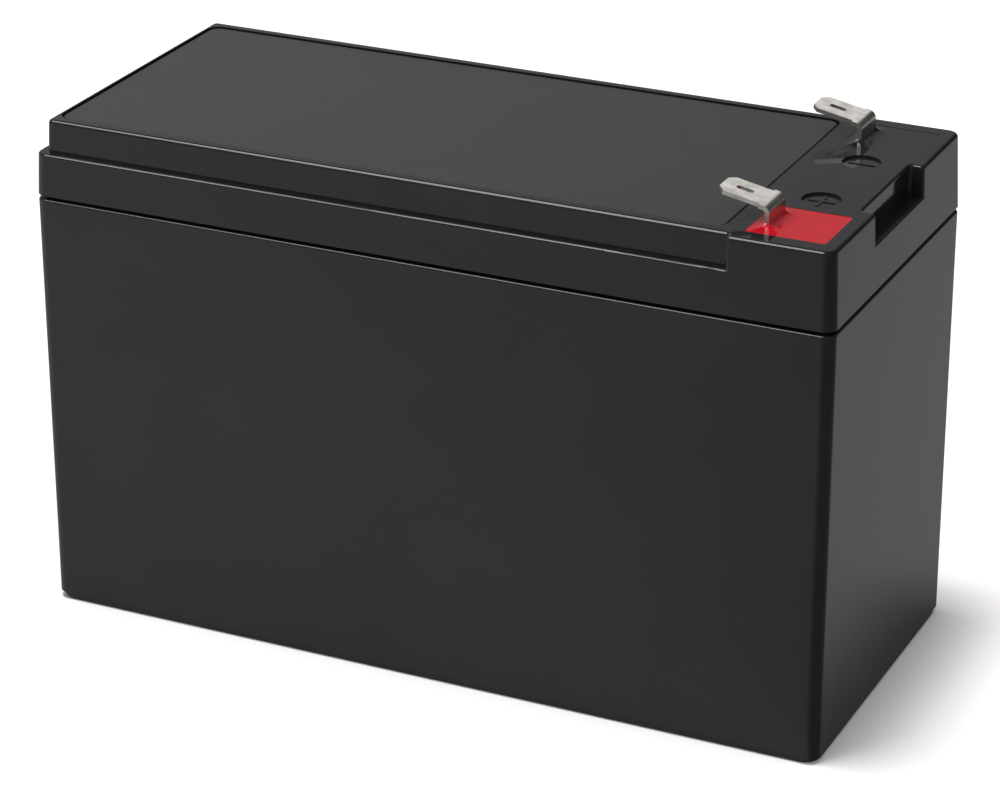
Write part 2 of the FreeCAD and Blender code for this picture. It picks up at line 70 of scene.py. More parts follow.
def addNode(tree, kind, inputs=None, **settings):
    # one node with its settings; an input takes a plain value or another node's output
    node = tree.nodes.new(kind)
    for name, value in settings.items():
        setattr(node, name, value)
    for name, value in (inputs or {}).items():
        if isinstance(value, bpy.types.NodeSocket):
            tree.links.new(value, node.inputs[name])
        else:
            node.inputs[name].default_value = value
    return node


def calculate(tree, operation, first, second):
    return addNode(tree, "ShaderNodeMath", {0: first, 1: second}, operation=operation).outputs[0]


def emptyMaterial(name):
    material = bpy.data.materials.new(name)
    material.use_nodes = True
    material.node_tree.nodes.clear()
    return material, material.node_tree


def perMetre(sizeInMm):
    # a noise's scale for features of this size, on coordinates in metres
    return 1.0 / (sizeInMm * mm)


view = {
    "azimuth": 25.14,  # degrees round from the front, towards the terminals
    "elevation": 24.17,
    "roll": -0.10,
    "distance": 650.43 * mm,
    "lens": 129.66,
    "sensor": 36.0,
    "nearest": 0.05,
    "farthest": 20.0,
    "aimFromMiddle": Vector((1.95, -2.57, -7.03)) * mm,
}


def makeCamera():
    azimuth = math.radians(view["azimuth"])
    elevation = math.radians(view["elevation"])
    back = Vector((
        math.sin(azimuth) * math.cos(elevation),
        -math.cos(azimuth) * math.cos(elevation),
        math.sin(elevation),
    ))
    data = bpy.data.cameras.new("viewCamera")
    data.lens = view["lens"]
    data.sensor_width = view["sensor"]
    data.clip_start = view["nearest"]
    data.clip_end = view["farthest"]
    camera = bpy.data.objects.new("viewCamera", data)
    bpy.context.scene.collection.objects.link(camera)
    aim = (cadLow + cadHigh) / 2 + view["aimFromMiddle"]
    camera.location = aim + back * view["distance"]
    turn = (-back).to_track_quat("-Z", "Y").to_matrix()
    roll = Matrix.Rotation(math.radians(view["roll"]), 3, "Z")
    camera.rotation_euler = (turn @ roll).to_euler()
    bpy.context.scene.camera = camera


makeCamera()

studio = {
    "floorHalf": 4.0,
    "floorColour": "#f8f8f7",
    # painted shade: how light the floor looks in the battery's gloss, darker in a sector round its
    # front-right corner: share of a turn from -X, and level
    "floorPaintedShade": [
        (0.0, 0.43),
        (0.08, 0.46),
        (0.18, 0.35),
        (0.30, 0.13),
        (0.60, 0.13),
        (0.67, 0.31),
    ],
    "ambient": 0.58,  # even light from all round
    "backdrop": 0.97,
    "room": 0.28,  # what gloss finds in the lit half of the room
    "gloom": 0.05,  # and in the dark half, behind the terminals
    "gloomWay": Vector((0.45, 0.65, 0.60)),
    "gloomEdge": (0.20, 0.75),  # cosines off its middle between which it darkens
    "reflector": 0.20,  # a broad white board behind the plain end adds this
    "reflectorWay": Vector((-0.50, 0.80, 0.33)),
    "reflectorEdge": (0.72, 0.95),
}

lamps = [
    # a softbox over the front, whose reflection runs along the rounded edges
    {
        "name": "softbox",
        "way": Vector((-0.34, -0.36, 0.87)),
        "distance": 0.75,
        "size": (0.50, 0.44),
        "radiance": 7.0,
        "floor": "EXCLUDE",
    },
    # a white card behind the plain end that only the blades mirror
    {
        "name": "bladeCard",
        "way": Vector((-0.17, 0.86, 0.47)),
        "distance": 0.45,
        "size": (0.34, 0.26),
        "radiance": 0.72,
        "blades": "INCLUDE",
    },
    # two fainter ones above and in front, so that the blades are silvery from every side
    {
        "name": "bladeTopCard",
        "way": Vector((0.05, 0.0, 1.0)),
        "distance": 0.6,
        "size": (0.8, 0.7),
        "radiance": 0.40,
        "blades": "INCLUDE",
    },
    {
        "name": "bladeFrontCard",
        "way": Vector((0.15, -0.86, 0.47)),
        "distance": 0.6,
        "size": (0.7, 0.35),
        "radiance": 0.50,
        "blades": "INCLUDE",
    },
    # a nearly overhead lamp that lights only the floor and gives the short soft shadow
    {
        "name": "floorLamp",
        "way": Vector((-0.09, -0.08, 0.99)),
        "distance": 2.0,
        "size": (0.45, 0.45),
        "radiance": 52.0,
        "floor": "INCLUDE",
    },
]
reaches = {"floor": [], "blades": []}  # what a lamp may be told to light, or to leave out


def makeFloor():
    half = studio["floorHalf"]
    mesh = bpy.data.meshes.new("floor")
    corners = [(-half, -half, 0), (half, -half, 0), (half, half, 0), (-half, half, 0)]
    mesh.from_pydata(corners, [], [(0, 1, 2, 3)])
    floor = bpy.data.objects.new("floor", mesh)
    bpy.context.scene.collection.objects.link(floor)
    material, tree = emptyMaterial("matt white studio card")
    place = addNode(tree, "ShaderNodeTexCoord").outputs["Object"]
    corner = addNode(
        tree,
        "ShaderNodeMapping",
        {"Vector": place, "Location": (-cadHigh.x, -cadLow.y, 0)},
    )
    # painted shade: the floor's levels by angle round the battery's front-right corner
    around = addNode(
        tree, "ShaderNodeTexGradient", {"Vector": corner.outputs[0]}, gradient_type="RADIAL"
    )
    ramp = addNode(tree, "ShaderNodeValToRGB", {"Fac": around.outputs["Fac"]})
    stops = studio["floorPaintedShade"]
    while len(ramp.color_ramp.elements) < len(stops):
        ramp.color_ramp.elements.new(0.5)
    for element, (share, level) in zip(ramp.color_ramp.elements, stops):
        element.position = share
        element.color = (level, level, level, 1)
    shown = addNode(
        tree, "ShaderNodeBsdfDiffuse", {"Color": linearColour(studio["floorColour"])}
    )
    # painted shade: rays other than the camera's see the floor darkened by this ramp, so the
    # battery's gloss mirrors a dark sector
    paintedShadeBounce = addNode(tree, "ShaderNodeBsdfDiffuse", {"Color": ramp.outputs["Color"]})
    path = addNode(tree, "ShaderNodeLightPath")
    mixed = addNode(
        tree,
        "ShaderNodeMixShader",
        {0: path.outputs["Is Camera Ray"], 1: paintedShadeBounce.outputs[0], 2: shown.outputs[0]},
    )
    addNode(tree, "ShaderNodeOutputMaterial", {"Surface": mixed.outputs[0]})
    mesh.materials.append(material)
    return floor


def makeLamp(lamp):
    width, height = lamp["size"]
    data = bpy.data.lights.new(lamp["name"], "AREA")
    data.shape = "RECTANGLE"
    data.size = width
    data.size_y = height
    data.energy = lamp["radiance"] * math.pi * width * height
    light = bpy.data.objects.new(lamp["name"], data)
    bpy.context.scene.collection.objects.link(light)
    way = lamp["way"].normalized()
    light.location = (cadLow + cadHigh) / 2 + way * lamp["distance"]
    light.rotation_euler = (-way).to_track_quat("-Z", "Y").to_euler()
    collection = bpy.data.collections.new(lamp["name"] + "Reach")
    light.light_linking.receiver_collection = collection
    for kind, members in reaches.items():
        if kind in lamp:
            for member in members:
                collection.objects.link(member)
            for link in collection.collection_objects:
                link.light_linking.link_state = lamp[kind]


def fading(tree, way, middle, edge, levels):
    # a level that changes smoothly with the angle from one direction
    facing = addNode(
        tree, "ShaderNodeVectorMath", {0: way, 1: middle.normalized()}, operation="DOT_PRODUCT"
    )
    limits = {"From Min": edge[0], "From Max": edge[1], "To Min": levels[0], "To Max": levels[1]}
    fade = addNode(
        tree,
        "ShaderNodeMapRange",
        {"Value": facing.outputs["Value"], **limits},
        interpolation_type="SMOOTHSTEP",
    )
    return fade.outputs["Result"]


def makeWorld():
    world = bpy.data.worlds.new("softRoom")
    world.use_nodes = True
    tree = world.node_tree
    tree.nodes.clear()
    way = addNode(tree, "ShaderNodeTexCoord").outputs["Generated"]
    walls = fading(
        tree, way, studio["gloomWay"], studio["gloomEdge"], (studio["room"], studio["gloom"])
    )
    board = fading(
        tree, way, studio["reflectorWay"], studio["reflectorEdge"], (0.0, studio["reflector"])
    )
    inGloss = calculate(tree, "ADD", walls, board)
    path = addNode(tree, "ShaderNodeLightPath")
    lit = addNode(
        tree,
        "ShaderNodeMix",
        {"Factor": path.outputs["Is Glossy Ray"], "A": studio["ambient"], "B": inGloss},
    )
    strength = addNode(
        tree,
        "ShaderNodeMix",
        {
            "Factor": path.outputs["Is Camera Ray"],
            "A": lit.outputs["Result"],
            "B": studio["backdrop"],
        },
    )
    room = addNode(
        tree,
        "ShaderNodeBackground",
        {"Color": (1, 1, 1, 1), "Strength": strength.outputs["Result"]},
    )
    addNode(tree, "ShaderNodeOutputWorld", {"Surface": room.outputs[0]})
    bpy.context.scene.world = world


bpy.context.scene.view_settings.view_transform = "Standard"
reaches["floor"].append(makeFloor())
makeWorld()
print("studio: camera, floor and room")


cloudRange = (0.3, 0.7)  # most of a noise lies between these
twoNoisesRange = (0.7, 1.3)  # and most of two added
wholeRange = (0.0, 1.0)


def noise(tree, place, size, detail=2.0, stretch=(1.0, 1.0, 1.0)):
    # noise with features of this size in mm, stretched along the axes
    mapped = addNode(tree, "ShaderNodeMapping", {"Vector": place, "Scale": stretch})
    cloud = addNode(
        tree,
        "ShaderNodeTexNoise",
        {"Vector": mapped.outputs[0], "Scale": perMetre(size), "Detail": detail},
    )
    return cloud.outputs["Fac"]


def between(tree, value, fromLimits, toLimits):
    # a value's range mapped to another and held to it
    limits = {
        "From Min": fromLimits[0],
        "From Max": fromLimits[1],
        "To Min": toLimits[0],
        "To Max": toLimits[1],
    }
    return addNode(tree, "ShaderNodeMapRange", {"Value": value, **limits}).outputs["Result"]


def blended(tree, share, first, second):
    # two colours mixed by a share
    inputs = {0: share, 6: first, 7: second}
    return addNode(tree, "ShaderNodeMix", inputs, data_type="RGBA").outputs[2]


def bumps(tree, layers):
    # heights in mm stacked into one normal
    normal = None
    for height, depth in layers:
        inputs = {"Height": height, "Strength": 1.0, "Distance": depth * mm}
        if normal:
            inputs["Normal"] = normal
        normal = addNode(tree, "ShaderNodeBump", inputs).outputs["Normal"]
    return normal


def principled(tree, **inputs):
    named = {name.replace("_", " "): value for name, value in inputs.items()}
    surface = addNode(tree, "ShaderNodeBsdfPrincipled", named)
    addNode(tree, "ShaderNodeOutputMaterial", {"Surface": surface.outputs[0]})


def mouldedPlastic(name, look):
    # ABS injected against a polished or fine-eroded mould: faint clouds of colour and gloss from
    # the melt's flow, hair scuffs from handling, and a grain drawn coarser than real to show
    material, tree = emptyMaterial(name)
    place = addNode(tree, "ShaderNodeTexCoord").outputs["Object"]
    cloud = noise(tree, place, look["cloudSize"], detail=4.0)
    along, across = look["scuffSize"]
    scuff = noise(tree, place, across, stretch=(across / along, 1.0, 1.0))
    clouded = between(tree, cloud, cloudRange, wholeRange)
    shade = blended(tree, clouded, linearColour(look["dark"]), linearColour(look["light"]))
    dusty = between(tree, scuff, look["scuffRange"], (0.0, look["scuff"]))
    colour = blended(tree, dusty, shade, linearColour(look["scuffColour"]))
    middle, spread = look["roughness"], look["roughnessSpread"]
    gloss = between(tree, cloud, cloudRange, (middle - spread, middle + spread))
    grain = noise(tree, place, look["grainSize"], detail=3.0)
    wave = noise(tree, place, look["waveSize"], detail=1.0)
    principled(
        tree,
        Base_Color=colour,
        Roughness=calculate(tree, "ADD", gloss, dusty),
        IOR=look["ior"],
        Normal=bumps(tree, [(wave, look["waveDepth"]), (grain, look["grainDepth"])]),
    )
    return material


blackPlastic = {
    "dark": "#18181a",
    "light": "#1c1c1f",
    "cloudSize": 14.0,
    "roughness": 0.17,
    "roughnessSpread": 0.02,
    "grainSize": 0.3,
    "grainDepth": 0.0012,
    "waveSize": 30.0,  # the slow unevenness of a wall that shrank as it cooled
    "waveDepth": 0.01,
    "scuffSize": (9.0, 0.35),
    "scuffRange": (0.62, 0.80),  # only the noise's peaks are scuffs
    "scuff": 0.05,  # so much more roughness, and so much of the scuffs' colour
    "scuffColour": "#4a4a4b",
    "ior": 1.5,
}
caseAbs = mouldedPlastic("moulded ABS, satin case", blackPlastic)
lidAbs = mouldedPlastic(
    "moulded ABS, polished lid",
    {**blackPlastic, "roughness": 0.085, "roughnessSpread": 0.015, "grainDepth": 0.0006},
)
mattCover = {
    "dark": "#2c2c2e",
    "light": "#2f2f32",
    "roughness": 0.32,
    "roughnessSpread": 0.01,
    "grainDepth": 0.002,
}
coverAbs = mouldedPlastic("moulded ABS, matt cover", {**blackPlastic, **mattCover})


def pouredEpoxy(name, look):
    # poured and self-levelled, so glassier than the plastic round it, with dye not quite stirred in
    material, tree = emptyMaterial(name)
    place = addNode(tree, "ShaderNodeTexCoord").outputs["Object"]
    cloud = noise(tree, place, look["cloudSize"], detail=3.0)
    wave = noise(tree, place, look["waveSize"], detail=1.0)
    principled(
        tree,
        Base_Color=blended(tree, cloud, linearColour(look["dark"]), linearColour(look["light"])),
        Roughness=between(tree, wave, cloudRange, look["roughness"]),
        IOR=look["ior"],
        Normal=bumps(tree, [(wave, look["waveDepth"])]),
    )
    return material


epoxy = {
    "dark": "#ae0016",
    "light": "#bc0a20",
    "cloudSize": 5.0,
    "waveSize": 4.0,
    "waveDepth": 0.01,
    "roughness": (0.07, 0.13),
    "ior": 1.52,
}
redEpoxy = pouredEpoxy("poured epoxy, red", epoxy)
blackEpoxy = pouredEpoxy("poured epoxy, black", {**epoxy, "dark": "#151516", "light": "#1a1a1b"})

tinPlate = {
    "light": "#e0ddd7",
    "dark": "#bcb8b1",
    "patchSize": 2.2,  # dull and bright islands in the plating
    "streakSize": (5.0, 0.2),  # rolling marks run along the strip
    "streakDepth": 0.0012,
    "dulledByPatch": {"fromLimits": (0.35, 0.7), "toLimits": (0.0, 0.7)},
    "dulledByStreak": {"fromLimits": (0.4, 0.75), "toLimits": (0.0, 0.5)},
    "roughness": (0.26, 0.38),
}


def tinPlatedBrass(name, look):
    # brass strip, rolled and then plated: silvery, slightly warm, satin along the rolling marks
    material, tree = emptyMaterial(name)
    place = addNode(tree, "ShaderNodeTexCoord").outputs["Object"]
    along, across = look["streakSize"]
    streak = noise(tree, place, across, stretch=(across / along, 1.0, across / along))
    patch = noise(tree, place, look["patchSize"], detail=4.0)
    dullPatch = between(tree, patch, **look["dulledByPatch"])
    dullStreak = between(tree, streak, **look["dulledByStreak"])
    worn = addNode(
        tree, "ShaderNodeMath", {0: dullPatch, 1: dullStreak}, operation="ADD", use_clamp=True
    ).outputs[0]
    principled(
        tree,
        Base_Color=blended(tree, worn, linearColour(look["light"]), linearColour(look["dark"])),
        Metallic=1.0,
        Roughness=between(tree, worn, wholeRange, look["roughness"]),
        Normal=bumps(tree, [(streak, look["streakDepth"])]),
    )
    return material


tinnedBrass = tinPlatedBrass("tin-plated brass strip", tinPlate)


def grainy(name, look):
    # a dry surface of two shades with grains of a stated size, rough all over
    material, tree = emptyMaterial(name)
    place = addNode(tree, "ShaderNodeTexCoord").outputs["Object"]
    stretch = look.get("stretch", (1.0, 1.0, 1.0))
    grain = noise(tree, place, look["grainSize"], detail=3.0, stretch=stretch)
    patch = noise(tree, place, look["patchSize"], detail=3.0)
    share = between(tree, calculate(tree, "ADD", grain, patch), twoNoisesRange, wholeRange)
    principled(
        tree,
        Base_Color=blended(tree, share, linearColour(look["dark"]), linearColour(look["light"])),
        Metallic=look["metallic"],
        Roughness=between(tree, share, wholeRange, look["roughness"]),
        Normal=bumps(tree, [(patch, look["patchDepth"]), (grain, look["grainDepth"])]),
    )
    return material


# lead alloy poured in a cold mould: blue-grey, dulled by oxide, softly pitted
castLead = grainy("cast lead alloy", {
    "dark": "#5d6064",
    "light": "#8a8d91",
    "grainSize": 0.35,
    "grainDepth": 0.01,
    "patchSize": 2.5,
    "patchDepth": 0.05,
    "metallic": 0.85,
    "roughness": (0.4, 0.6),
})
# lead dioxide paste, chocolate brown and chalky
positivePaste = grainy("lead dioxide paste", {
    "dark": "#2d1a12",
    "light": "#4c2e20",
    "grainSize": 0.25,
    "grainDepth": 0.03,
    "patchSize": 4.0,
    "patchDepth": 0.05,
    "metallic": 0.0,
    "roughness": (0.8, 0.95),
})
# sponge lead paste, slate grey with a faint metal glint
negativePaste = grainy("sponge lead paste", {
    "dark": "#4b4e50",
    "light": "#74787a",
    "grainSize": 0.25,
    "grainDepth": 0.03,
    "patchSize": 4.0,
    "patchDepth": 0.05,
    "metallic": 0.25,
    "roughness": (0.65, 0.85),
})
# felted glass fibre: white, with fibres that lie along the mat, drawn coarser than real to show
glassMat = grainy("felted glass fibre mat", {
    "dark": "#cfd0ca",
    "light": "#f2f2ec",
    "grainSize": 0.12,
    "grainDepth": 0.05,
    "stretch": (0.12, 1.0, 0.5),
    "patchSize": 3.0,
    "patchDepth": 0.1,
    "metallic": 0.0,
    "roughness": (0.9, 1.0),
})
# moulded nitrile: black, dull, with a grey bloom
nitrileRubber = grainy("moulded nitrile rubber", {
    "dark": "#141414",
    "light": "#262626",
    "grainSize": 0.15,
    "grainDepth": 0.01,
    "patchSize": 2.0,
    "patchDepth": 0.02,
    "metallic": 0.0,
    "roughness": (0.55, 0.75),
})
print("materials made")


def linkPiece(mesh, name, *materials):
    piece = bpy.data.objects.new(name, mesh)
    bpy.context.scene.collection.objects.link(piece)
    mesh.materials.clear()
    for material in materials:
        mesh.materials.append(material)
    return piece


def settle(piece):
    # the modifiers' result becomes the piece's own plain mesh
    graph = bpy.context.evaluated_depsgraph_get()
    mesh = bpy.data.meshes.new_from_object(piece.evaluated_get(graph))
    piece.modifiers.clear()
    piece.data = mesh
    return piece


shading = {
    "weld": 0.002 * mm,  # corners nearer than this are one
    "sliver": 0.001 * mm,  # edges shorter than this go
    "mergeAngle": math.radians(0.2),  # triangles this even make one face
    "flatAngle": math.radians(0.3),  # and faces this even are one flat
    "minorFlat": 3,  # a flat this many times smaller than its neighbour doesn't tilt a corner
}


def flatRegions(work):
    # each face's flat, and the area of every flat
    regionOf = {}
    areas = []
    for face in work.faces:
        if face.index in regionOf:
            continue
        waiting = [face]
        regionOf[face.index] = len(areas)
        area = 0.0
        while waiting:
            current = waiting.pop()
            area += current.calc_area()
            for beside in (other for edge in current.edges for other in edge.link_faces):
                turn = beside.normal.angle(current.normal, math.pi)
                if beside.index not in regionOf and turn <= shading["flatAngle"]:
                    regionOf[beside.index] = len(areas)
                    waiting.append(beside)
        areas.append(area)
    return regionOf, areas


def evenShading(piece, sharpAngle):
    # flats stay flat and roundings run smoothly into them: a corner takes the normal of the
    # largest flat that it touches, or a mean where none is much larger than the rest
    mesh = piece.data
    mesh.shade_smooth()
    mesh.set_sharp_from_angle(angle=math.radians(sharpAngle))
    work = bmesh.new()
    work.from_mesh(mesh)
    work.faces.ensure_lookup_table()
    regionOf, areas = flatRegions(work)
    normals = []
    for face in work.faces:
        for corner in face.loops:
            around = [
                other
                for other in corner.vert.link_faces
                if other.normal.angle(face.normal, math.pi) < math.radians(sharpAngle)
            ] or [face]
            largest = max(areas[regionOf[other.index]] for other in around)
            least = largest / shading["minorFlat"]
            strong = [other for other in around if areas[regionOf[other.index]] > least]
            total = sum((other.normal * other.calc_area() for other in strong), Vector())
            normals.append(total.normalized() if total.length > 0 else face.normal.copy())
    work.free()
    mesh.normals_split_custom_set(normals)
    return piece


def mergedMesh(node, name):
    # a CAD node's triangles welded, and its flats made whole faces
    work = bmesh.new()
    work.from_mesh(nodes[node].data)
    bmesh.ops.remove_doubles(work, verts=work.verts, dist=shading["weld"])
    bmesh.ops.dissolve_degenerate(work, edges=work.edges, dist=shading["sliver"])
    bmesh.ops.dissolve_limit(
        work, angle_limit=shading["mergeAngle"], verts=work.verts, edges=work.edges
    )
    mesh = bpy.data.meshes.new(name)
    work.to_mesh(mesh)
    work.free()
    return mesh


def standFor(piece, node, body="battery"):
    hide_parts(node)
    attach(piece, body)
    return piece


mouldings = {
    "lidShell": {"node": "lid", "material": lidAbs, "slot": "lid_abs", "sharp": 30},
    "caseTub": {"node": "case", "material": caseAbs, "slot": "case_abs", "sharp": 30},
    "ventCoverPlate": {
        "node": "vent_cover_plate",
        "material": coverAbs,
        "slot": "cover_abs",
        "sharp": 30,
    },
}
for name, part in mouldings.items():
    piece = linkPiece(mergedMesh(part["node"], name), name, part["material"])
    evenShading(piece, part["sharp"])
    standFor(piece, part["node"])
print("mouldings made:", ", ".join(mouldings))

blade = {
    "edgeRound": 0.09 * mm,  # the blanked edges, softened by the plating
    "roundSteps": 3,
    "sharp": 40,
}


def makeBlade(side):
    node = side + "_tab"
    name = side + "Blade"
    piece = linkPiece(mergedMesh(node, name), name, tinnedBrass)
    rounding = piece.modifiers.new("edgeRound", "BEVEL")
    rounding.width = blade["edgeRound"]
    rounding.segments = blade["roundSteps"]
    rounding.limit_method = "ANGLE"
    rounding.angle_limit = math.radians(blade["sharp"])
    rounding.miter_outer = "MITER_ARC"
    settle(piece)
    evenShading(piece, blade["sharp"])
    return standFor(piece, node)


for side in ("positive", "negative"):
    reaches["blades"].append(makeBlade(side))
print("blades made")
for lamp in lamps:
    makeLamp(lamp)
print("lamps placed")

resin = {
    "climb": 0.5 * mm,  # how far it creeps up the leg
    "endClimb": 0.6,  # this much further at the leg's narrow ends
    "reach": 0.7 * mm,  # how fast the creep dies away
    "rings": 24,
    "crowding": 1.8,  # the rings lie closer together towards the leg
    "legCorner": 0.1 * mm,
    "pocketCorner": 0.5 * mm,
    "cornerSteps": 5,
    "sideSteps": 22,
    "sharp": 50,
}


def roundedRectangle(low, high, corner):
    # points anticlockwise round a rectangle, the same number for every size
    steps = resin["cornerSteps"]
    centres = [
        Vector((high.x - corner, low.y + corner)),
        Vector((high.x - corner, high.y - corner)),
        Vector((low.x + corner, high.y - corner)),
        Vector((low.x + corner, low.y + corner)),
    ]
    arcs = []
    for quarter, centre in enumerate(centres):
        angles = [math.pi / 2 * (quarter - 1 + step / steps) for step in range(steps + 1)]
        arcs.append([
            centre + corner * Vector((math.cos(angle), math.sin(angle))) for angle in angles
        ])
    points = []
    for quarter, arc in enumerate(arcs):
        points += arc
        following = arcs[(quarter + 1) % 4][0]
        for step in range(1, resin["sideSteps"]):
            points.append(arc[-1].lerp(following, step / resin["sideSteps"]))
    return points


def sectionBounds(node, height):
    # the lowest and highest corners of a node's cut at this height
    mesh = nodes[node].data
    crossing = []
    for edge in mesh.edges:
        first, second = (mesh.vertices[index].co for index in edge.vertices)
        if (first.z - height) * (second.z - height) < 0:
            crossing.append(first.lerp(second, (height - first.z) / (second.z - first.z)))
    low = Vector((min(point.x for point in crossing), min(point.y for point in crossing)))
    high = Vector((max(point.x for point in crossing), max(point.y for point in crossing)))
    return low, high


def closedLoft(name, rows):
    # quads between rings of points, the last ring joined back to the first
    count = len(rows[0])
    faces = []
    for row in range(len(rows)):
        here = row * count
        there = (row + 1) % len(rows) * count
        for step in range(count):
            beside = (step + 1) % count
            faces.append((here + step, there + step, there + beside, here + beside))
    mesh = bpy.data.meshes.new(name)
    mesh.from_pydata([point for row in rows for point in row], [], faces)
    mesh.update()
    return mesh


def makeResin(side, material):
    node = side + "_seal_resin"
    low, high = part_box(node)
    legLow, legHigh = sectionBounds(side + "_tab", high.z)
    leg = roundedRectangle(legLow, legHigh, resin["legCorner"])
    pocket = roundedRectangle(low, high, resin["pocketCorner"])
    middle = (legLow.y + legHigh.y) / 2
    half = (legHigh.y - legLow.y) / 2
    surface = []
    for ring in range(resin["rings"]):
        share = (ring / resin["rings"]) ** resin["crowding"]
        row = []
        for start, end in zip(leg, pocket):
            place = start.lerp(end, share)
            towardsEnd = abs(start.y - middle) / half
            climb = resin["climb"] * (1 + resin["endClimb"] * towardsEnd ** 4)
            rise = climb * math.exp(-(place - start).length / resin["reach"])
            row.append((place.x, place.y, high.z + rise))
        surface.append(row)
    surface.append([(point.x, point.y, high.z) for point in pocket])
    inside = [(point.x, point.y, low.z) for point in leg]
    outside = [(point.x, point.y, low.z) for point in pocket]
    name = side + "Resin"
    piece = linkPiece(closedLoft(name, [inside, *surface, outside]), name, material)
    evenShading(piece, resin["sharp"])
    return standFor(piece, node)


makeResin("positive", redEpoxy)
makeResin("negative", blackEpoxy)
print("resin poured round the blades")


def nodeGroup(name, inputs):
    # an empty Geometry Nodes tree with named inputs
    tree = bpy.data.node_groups.new(name, "GeometryNodeTree")
    tree.interface.new_socket("Geometry", in_out="INPUT", socket_type="NodeSocketGeometry")
    for label, kind in inputs.items():
        tree.interface.new_socket(label, in_out="INPUT", socket_type="NodeSocket" + kind)
    tree.interface.new_socket("Geometry", in_out="OUTPUT", socket_type="NodeSocketGeometry")
    return tree, addNode(tree, "NodeGroupInput").outputs


def grow(piece, tree, values):
    # the tree's result with these inputs becomes the piece's mesh
    modifier = piece.modifiers.new(tree.name, "NODES")
    modifier.node_group = tree
    for item in tree.interface.items_tree:
        if item.in_out == "INPUT" and item.name in values:
            modifier[item.identifier] = values[item.name]
    return settle(piece)


def vector(tree, x=0.0, y=0.0, z=0.0):
    return addNode(tree, "ShaderNodeCombineXYZ", {"X": x, "Y": y, "Z": z}).outputs[0]


cap = {
    "ribs": 16,
    "ribWidth": 0.5 * mm,
    "ribDepth": 0.2 * mm,
    "fromTop": 0.7 * mm,
    "fromBottom": 2.4 * mm,
    "sharp": 35,
}


def ribTree():
    tree, given = nodeGroup("capRibs", {
        "Centre": "Vector",
        "Radius": "Float",
        "Ribs": "Int",
        "Rib width": "Float",
        "Rib depth": "Float",
        "Rib height": "Float",
        "Rubber": "Material",
    })
    circle = addNode(
        tree, "GeometryNodeMeshCircle", {"Vertices": given["Ribs"], "Radius": given["Radius"]}
    )
    # a rib straddles the cap's side, so half of its block is sunk
    depth = calculate(tree, "MULTIPLY", given["Rib depth"], 2.0)
    size = vector(tree, depth, given["Rib width"], given["Rib height"])
    rib = addNode(tree, "GeometryNodeMeshCube", {"Size": size})
    index = addNode(tree, "GeometryNodeInputIndex").outputs[0]
    turn = calculate(tree, "DIVIDE", calculate(tree, "MULTIPLY", index, 2 * math.pi), given["Ribs"])
    ribs = addNode(
        tree,
        "GeometryNodeInstanceOnPoints",
        {
            "Points": circle.outputs[0],
            "Instance": rib.outputs["Mesh"],
            "Rotation": vector(tree, z=turn),
        },
    )
    placed = addNode(
        tree, "GeometryNodeTransform", {"Geometry": ribs.outputs[0], "Translation": given["Centre"]}
    )
    joined = addNode(tree, "GeometryNodeJoinGeometry")
    tree.links.new(given["Geometry"], joined.inputs[0])
    tree.links.new(placed.outputs[0], joined.inputs[0])
    real = addNode(tree, "GeometryNodeRealizeInstances", {"Geometry": joined.outputs[0]})
    made = addNode(
        tree, "GeometryNodeSetMaterial", {"Geometry": real.outputs[0], "Material": given["Rubber"]}
    )
    addNode(tree, "NodeGroupOutput", {"Geometry": made.outputs[0]})
    return tree


def makeCaps():
    tree = ribTree()
    for number in cellNumbers:
        node = "valve_cap_" + str(number)
        name = "valveCap" + str(number)
        low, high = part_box(node)
        bottom = low.z + cap["fromBottom"]
        top = high.z - cap["fromTop"]
        sideLow, sideHigh = sectionBounds(node, (bottom + top) / 2)
        piece = linkPiece(mergedMesh(node, name), name, nitrileRubber)
        evenShading(piece, cap["sharp"])
        grow(piece, tree, {
            "Centre": (*((sideLow + sideHigh) / 2), (bottom + top) / 2),
            "Radius": (sideHigh.x - sideLow.x) / 2,
            "Ribs": cap["ribs"],
            "Rib width": cap["ribWidth"],
            "Rib depth": cap["ribDepth"],
            "Rib height": top - bottom,
            "Rubber": nitrileRubber,
        })
        standFor(piece, node, node)


makeCaps()
print("valve caps made")

plates = {
    "positive": {"count": 5, "thickness": 2.0 * mm, "paste": positivePaste},
    "negative": {"count": 6, "thickness": 1.4 * mm, "paste": negativePaste},
}
castGrid = {
    "bar": 0.9 * mm,
    "frameBar": 1.8 * mm,
    "barsAcross": 9,
    "barsUp": 11,
    "pasteShare": 0.86,  # the paste stands a little below the bars on both faces
}


